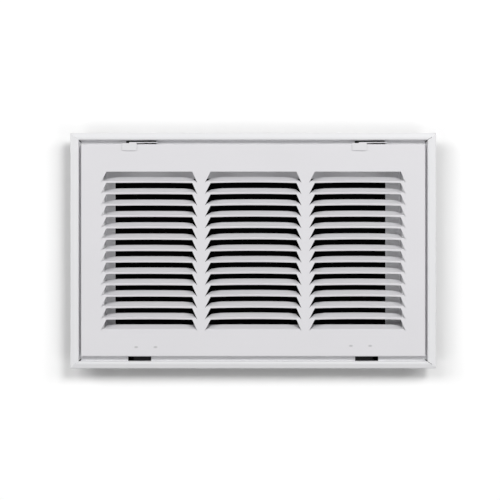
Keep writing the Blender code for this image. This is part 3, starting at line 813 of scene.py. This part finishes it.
rivet_steel = steel("shade_black_rivet_steel", RIVET_SHADE_BLACK, roughness=0.4, grain=0.7 * MM, stretch=1)
for side in LATCH_SLOTS:
    latch_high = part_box(side + "_latch")[1]
    for number, middle in enumerate(rivet_places(side), start=1):
        low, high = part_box(f"{side}_latch_rivet_{number}")
        tail_top = DOOR_TOP - DOOR_SHEET - SEAT_GAP
        shoulder_bottom = DOOR_TOP + SEAT_GAP
        shoulder_top = latch_high[2] - LATCH_SHEET - SEAT_GAP
        head_bottom = latch_high[2] + SEAT_GAP
        profile = [
            *((share * TAIL_RADIUS, low[2] + rise) for share, rise in TAIL_EDGE),
            (TAIL_RADIUS, tail_top),
            (SHANK_RADIUS, tail_top),
            (SHANK_RADIUS, shoulder_bottom),
            (SHOULDER_RADIUS, shoulder_bottom),
            (SHOULDER_RADIUS, shoulder_top),
            (SHANK_RADIUS, shoulder_top),
            (SHANK_RADIUS, head_bottom),
            *dome(head_bottom, high[2]),
        ]
        rivet = turned_solid(f"{side}_rivet_{number}_turned", profile, middle)
        dress(rivet, "door", "rivet_black", rivet_steel, f"{side}_latch_rivet_{number}")

# Hinge leaves: strips of spring steel, spot welded inside the door's lower edge, near black as
# blackened spring steel is, and as painted shade where the tongue shows through its slot. A
# tongue on each passes through a slot in the flange and curls about the line the door turns on.
HINGE_SHEET = 0.8 * MM
LEAF_TOP_RISE = 18.0 * MM
LEAF_FOOT_RISE = 3.8 * MM
TONGUE_RADIUS = 9.0 * MM
TONGUE_TAIL = math.radians(-60)
TONGUE_STEPS = 28
LEAF_CORNER = 1.6 * MM
SPRING_BLACK = (0.02, 0.02, 0.021)

blackened_and_shaded = steel(
    "blackened_and_shaded_spring_steel", SPRING_BLACK, roughness=0.55, grain=0.5 * MM, stretch=12
)

# One path across the hinge: down the door's back, out at the foot and round the tongue's arc.
hinge = next(joint for joint in frame["joints"] if joint["name"] == "door_hinge")
hinge_place = np.array(hinge["pos_m"][1:])
leaf_y = DOOR_FRONT + DOOR_SHEET + SEAT_GAP + HINGE_SHEET / 2
start_angle = math.acos((-FRAME_SHEET - hinge_place[0]) / TONGUE_RADIUS)
angles = np.linspace(start_angle, TONGUE_TAIL, TONGUE_STEPS + 1)
spokes = np.stack([np.cos(angles), np.sin(angles)], axis=1)
tongue = hinge_place + spokes * TONGUE_RADIUS
leaf_top = (leaf_y, DOOR_BOTTOM + LEAF_TOP_RISE)
leaf_foot = (leaf_y, DOOR_BOTTOM + LEAF_FOOT_RISE)
leaf_line, leaf_normals = folded_line([leaf_top, leaf_foot, tongue[0]], FOLD_RADIUS, FOLD_STEPS)
joint_normal = (leaf_normals[-1] + spokes[0]) / (1 + leaf_normals[-1] @ spokes[0])
path = np.concatenate([leaf_line[:-1], tongue])
path_normals = np.concatenate([leaf_normals[:-1], [joint_normal], spokes[1:]])
for side, sign in (("left", -1), ("right", 1)):
    low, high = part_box(side + "_hinge_leaf")
    inner, outer = sorted((abs(low[0]), abs(high[0])))
    tongue_inner = HINGE_SLOT_MIDDLE - HINGE_SLOT_WIDTH / 2 + RUNNING_GAP
    leaf_x = np.concatenate(
        [inner + CORNER_LINES, tongue_inner + CORNER_LINES, outer - CORNER_LINES[::-1]]
    )
    faces = []
    for line in (path - path_normals * HINGE_SHEET / 2, path + path_normals * HINGE_SHEET / 2):
        face = np.empty((len(path), len(leaf_x), 3))
        face[..., 0] = sign * leaf_x
        face[..., 1:] = line[:, None]
        from_top = np.clip(LEAF_CORNER - np.minimum(leaf_x - inner, outer - leaf_x), 0, None)
        face[0, :, 2] -= LEAF_CORNER - np.sqrt(LEAF_CORNER**2 - from_top**2)
        faces.append(face)
    mask = np.ones((len(path) - 1, len(leaf_x) - 1), bool)
    mask[1:, leaf_x[:-1] < tongue_inner - TOLERANCE] = False
    leaf = sheet_metal(side + "_hinge_leaf_sheet", [(*faces, mask)])
    dress(leaf, "door", "spring_steel", blackened_and_shaded, side + "_hinge_leaf")

# Stage: white card round the neck in place of the wall, black card in the duct opening and
# behind the flange, six soft lamps in front and two behind, and a little light from all round.
# The background's white is only what the camera sees of the white card and the world.
WALL_CARD_Y = 19 * MM
WALL_CARD_SIZE = 2.4
WALL_CARD_GAP = 1 * MM
WALL_GREY = 0.8
WALL_SEEN = 1.06
DUCT_CARD_GAP = 0.4 * MM
FLANGE_CARD_Y = 3.2 * MM
FLANGE_CARD_INSET = 3 * MM
FLANGE_CARD_GAP = 2 * MM
DARK = 0.003
LAMP_DISTANCE = 3.5
AMBIENT = 0.09


def card(name, rectangles, depth, colour, seen_as):
    """Flat card facing the camera, from (left, right, low, high) rectangles.

    It lights the grille as a card of one grey, and the camera sees it as another. It is
    see-through from behind. Light from the lamps behind it reaches what the camera sees, but
    not a surface that only passes light on.
    """
    corners = [
        (x, depth, z)
        for left, right, low, high in rectangles
        for x, z in ((left, low), (right, low), (right, high), (left, high))
    ]
    faces = np.arange(len(corners)).reshape(-1, 4).tolist()
    mesh = bpy.data.meshes.new(name)
    mesh.from_pydata(corners, [], faces)
    material, nodes, surface = new_material(name)
    camera_ray = nodes.node("ShaderNodeLightPath", {}, {}, "Is Camera Ray")
    tint = between(camera_ray, (colour,) * 3, (seen_as,) * 3)
    paint = nodes.node("ShaderNodeBsdfDiffuse", {}, {"Color": tint, "Roughness": 1.0})
    clear = nodes.node("ShaderNodeBsdfTransparent", {}, {})
    behind = nodes.node("ShaderNodeNewGeometry", {}, {}, "Backfacing")
    shadow = nodes.node("ShaderNodeLightPath", {}, {}, "Is Shadow Ray")
    bounces = nodes.node("ShaderNodeLightPath", {}, {}, "Diffuse Depth")
    see_through = behind | (shadow - bounces > 0.5)
    nodes.node("ShaderNodeMixShader", {}, [see_through, paint, clear]).feed(surface)
    mesh.materials.append(material)
    piece = bpy.data.objects.new(name, mesh)
    bpy.context.scene.collection.objects.link(piece)


def ring(half_width, half_height, across, up):
    """Four rectangles between an outer rectangle and a hole, each given by its half sizes."""
    return [
        (-half_width, half_width, up, half_height),
        (-half_width, half_width, -half_height, -up),
        (-half_width, -across, -up, up),
        (across, half_width, -up, up),
    ]


neck = np.array([HALF_WIDTH, HALF_HEIGHT]) - NECK_INSET
wall = ring(WALL_CARD_SIZE, WALL_CARD_SIZE, *(neck + WALL_CARD_GAP))
card("white_card", wall, WALL_CARD_Y, WALL_GREY, WALL_SEEN)
# Painted shade: the black duct and flange cards are dark sheets that stand for the shade in the
# duct and under the flange, so the openings and slots show black.
opening = (-neck[0], neck[0], -neck[1], neck[1])
card("duct_opening_card", [opening], NECK_DEPTH + DUCT_CARD_GAP, DARK, DARK)
flange_half = np.array([HALF_WIDTH, HALF_HEIGHT]) - FLANGE_CARD_INSET
flange = ring(*flange_half, *(neck + FLANGE_CARD_GAP))
card("flange_card", flange, FLANGE_CARD_Y, DARK, DARK)

aim = bpy.data.objects.new("aim", None)
bpy.context.scene.collection.objects.link(aim)
for name, azimuth, elevation, size, power in (
    ("upper_left", -25, 28, 1.2, 18),
    ("upper_right", 25, 28, 1.2, 45),
    ("side_left", -50, 21, 1.6, 36),
    ("side_right", 50, 21, 1.6, 27),
    ("lower_left", -40, -25, 1.6, 15),
    ("lower_right", 40, -25, 1.6, 17),
    ("behind_left", -145, 20, 1.6, 60),
    ("behind_right", 145, 20, 1.6, 60),
):
    light = bpy.data.lights.new(name, "AREA")
    light.shape = "DISK"
    light.size = size
    light.energy = power
    lamp = bpy.data.objects.new(name, light)
    turn = math.radians(azimuth)
    lift = math.radians(elevation)
    lamp.location = (
        LAMP_DISTANCE * math.sin(turn) * math.cos(lift),
        -LAMP_DISTANCE * math.cos(turn) * math.cos(lift),
        LAMP_DISTANCE * math.sin(lift),
    )
    bpy.context.scene.collection.objects.link(lamp)
    follow = lamp.constraints.new("TRACK_TO")
    follow.target = aim

world = bpy.data.worlds.new("studio")
bpy.context.scene.world = world
world.use_nodes = True
backdrop = world.node_tree.nodes["Background"]
backdrop.inputs["Color"].default_value = (1, 1, 1, 1)
sky = Value(world.node_tree)
camera_ray, glossy_ray, through_ray = (
    sky.node("ShaderNodeLightPath", {}, {}, f"Is {kind} Ray")
    for kind in ("Camera", "Glossy", "Transmission")
)
strength = AMBIENT + (1 - AMBIENT) * (camera_ray | glossy_ray | through_ray)
strength.feed(backdrop.inputs["Strength"])

# Camera: square on to the door, level with its middle and slightly left of it. Its distance and
# focal length put the frame's outer edges where the photo has them.
CAMERA_PLACE = (-3.64 * MM, -1391.4 * MM, 0.81 * MM)
FOCAL_LENGTH = 86.4
lens = bpy.data.cameras.new("camera")
lens.lens = FOCAL_LENGTH
camera = bpy.data.objects.new("camera", lens)
camera.location = CAMERA_PLACE
camera.rotation_euler = (math.pi / 2, 0, 0)
bpy.context.scene.collection.objects.link(camera)
bpy.context.scene.camera = camera
bpy.context.scene.view_settings.view_transform = "Standard"
